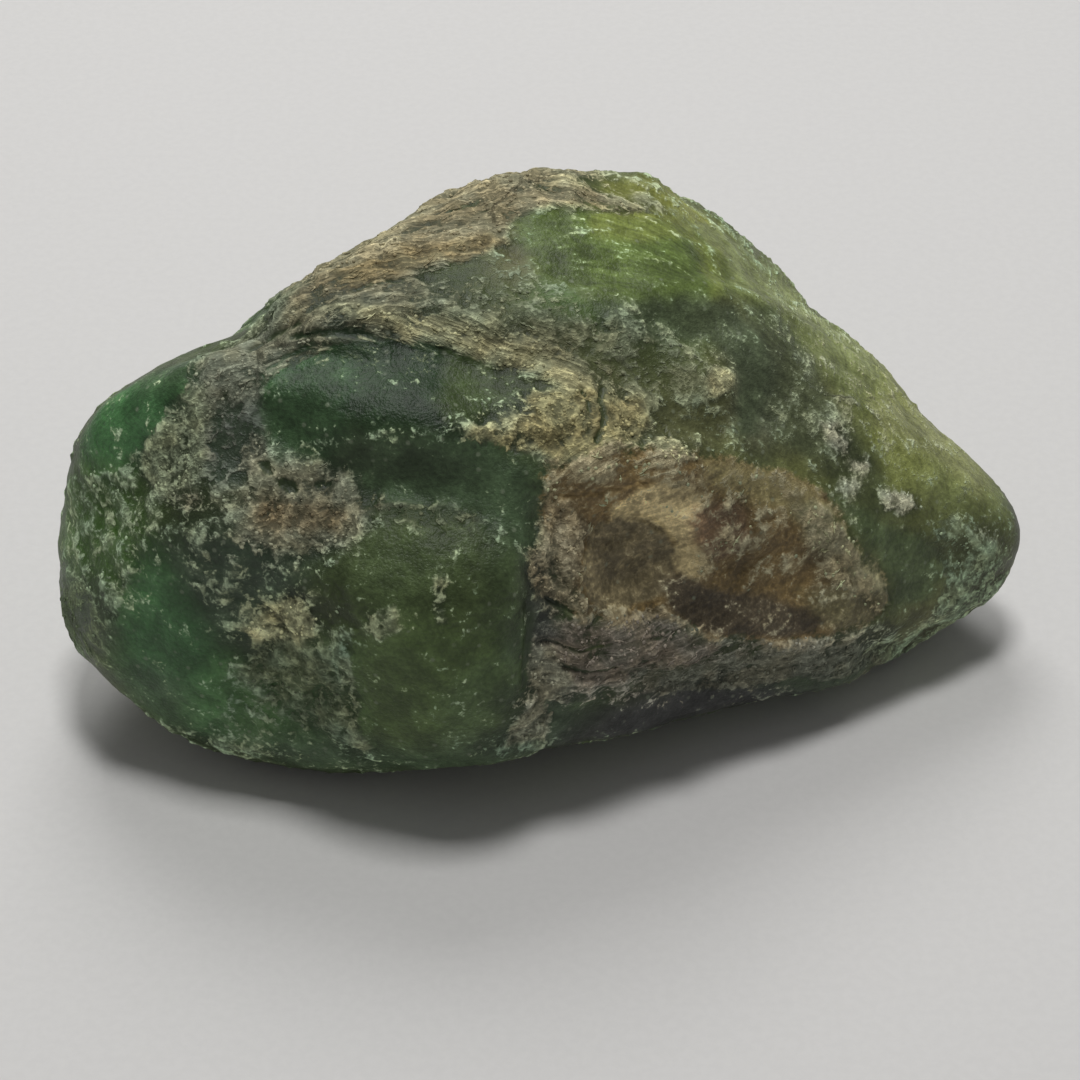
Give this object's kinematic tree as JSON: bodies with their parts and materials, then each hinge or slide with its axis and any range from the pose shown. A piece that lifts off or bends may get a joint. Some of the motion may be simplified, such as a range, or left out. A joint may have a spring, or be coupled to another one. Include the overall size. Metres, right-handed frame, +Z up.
{
  "type": "rough demantoid garnet",
  "caption": "Rough demantoid garnet: a water-worn green nodule, longer than wide, with a brown iron-stained pocket and a pale crust, lying on its flat worn face.",
  "frame": {"origin": "under the middle of the stone's box, on the plane that its flat worn face rests on", "axes": "+X along the stone's length towards its narrow end, +Y towards its back, +Z up from the resting face"},
  "size_m": [0.0202, 0.0128, 0.0102],
  "materials": {
    "demantoid": "cloudy green garnet, worn to a soft sheen, with brown iron stain and a dull pale crust"
  },
  "bodies": {
    "root": {"garnet_nodule": "demantoid"}
  },
  "joints": []
}
